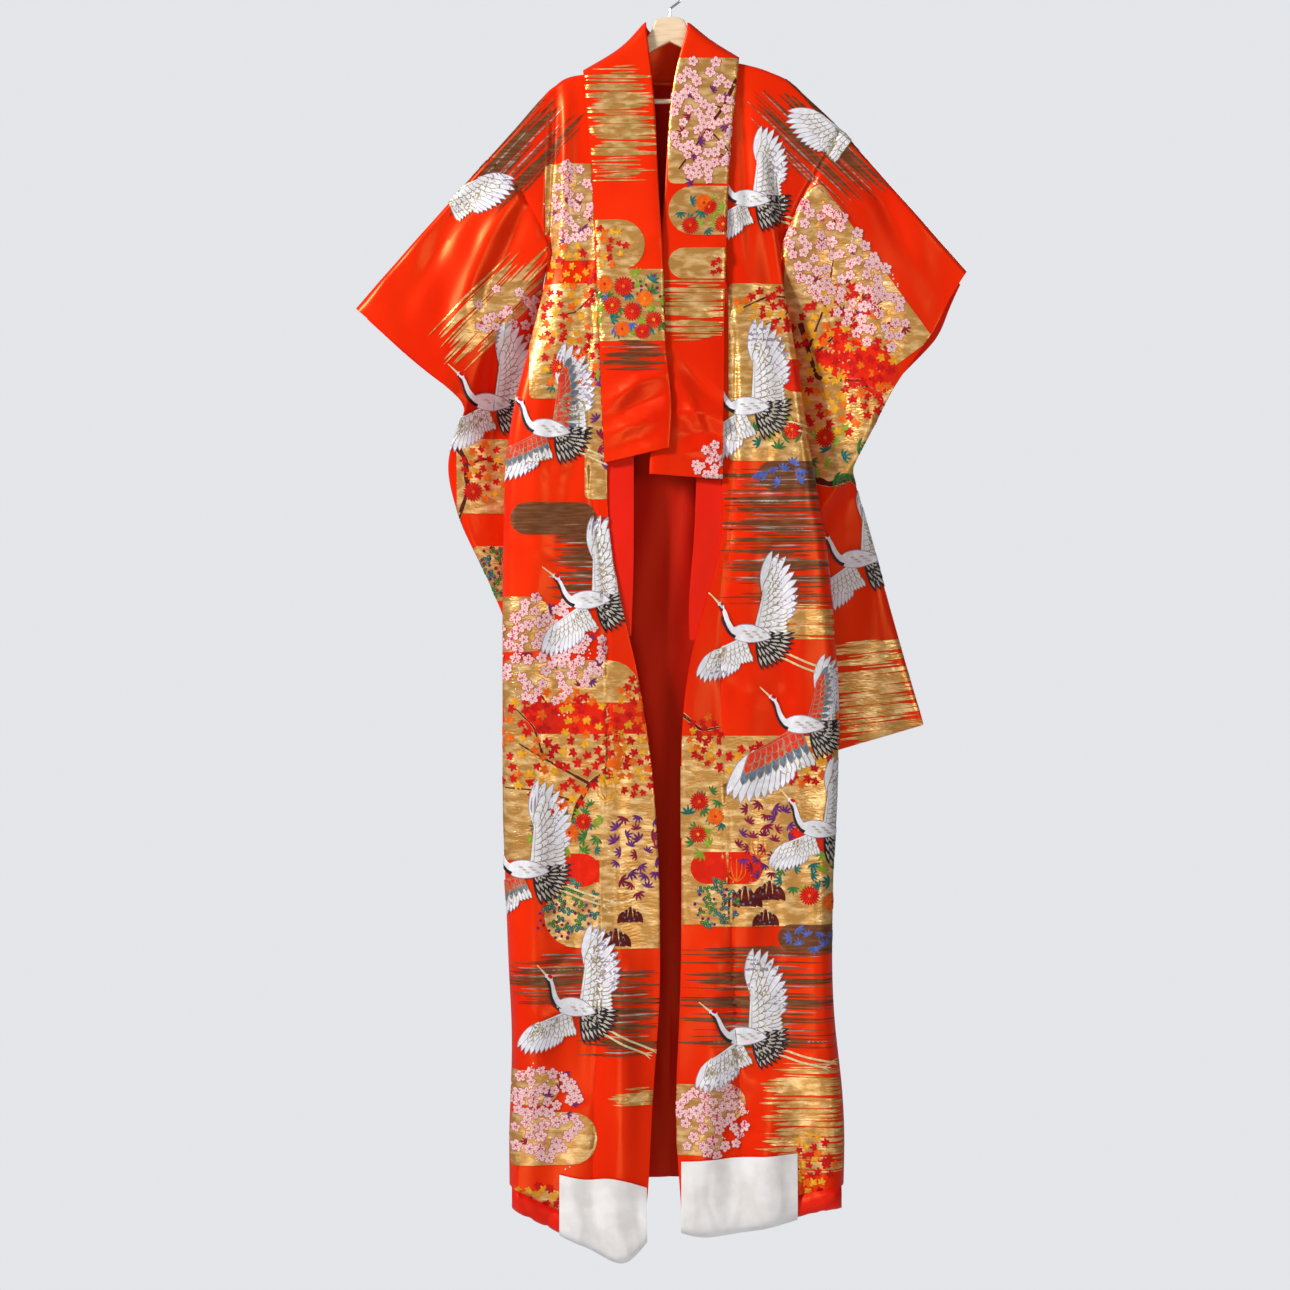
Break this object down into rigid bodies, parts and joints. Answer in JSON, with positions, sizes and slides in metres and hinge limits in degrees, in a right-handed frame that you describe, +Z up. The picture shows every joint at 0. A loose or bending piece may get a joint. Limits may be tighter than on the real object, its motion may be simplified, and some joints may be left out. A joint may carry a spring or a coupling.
{
  "type": "uchikake wedding kimono on a wooden hanger",
  "caption": "Long-sleeved padded-hem wedding over-robe hanging open at the front on a flat wooden hanger with a wire hook.",
  "frame": {"origin": "the inner top of the hanger's hook, where the rail or nail holds it up", "axes": "+Z up along the robe's length, -Y towards the robe's open front, +X to the right as seen from the front"},
  "size_m": [0.9774, 0.1594, 2.056],
  "materials": {
    "face_satin": "vermilion satin with woven gold, brown and white patterns",
    "lining_red": "bright red plain silk",
    "lining_dark": "dark crimson plain silk",
    "guard_white": "white cotton, matte",
    "hanger_wood": "pale varnished wood",
    "hook_steel": "plated wire"
  },
  "bodies": {
    "root": {"back_left": "face_satin", "back_right": "face_satin", "front_left": "face_satin", "front_right": "face_satin", "front_strip_left": "face_satin", "front_strip_right": "face_satin", "sleeve_left_front": "face_satin", "sleeve_left_back": "face_satin", "sleeve_right_front": "face_satin", "sleeve_right_back": "face_satin", "collar_left": "face_satin", "collar_right": "face_satin", "collar_neck": "face_satin", "lining_front_left": "lining_red", "lining_front_right": "lining_red", "lining_back_left": "lining_dark", "lining_back_right": "lining_dark", "cuff_lining_left": "lining_red", "cuff_lining_right": "lining_red", "hem_roll_front_left": "lining_red", "hem_roll_front_right": "lining_red", "hem_roll_back_left": "lining_red", "hem_roll_back_right": "lining_red", "hem_guard_left": "guard_white", "hem_guard_right": "guard_white", "hanger_wood": "hanger_wood", "hanger_bar": "hanger_wood", "hanger_hook": "hook_steel"}
  },
  "joints": []
}
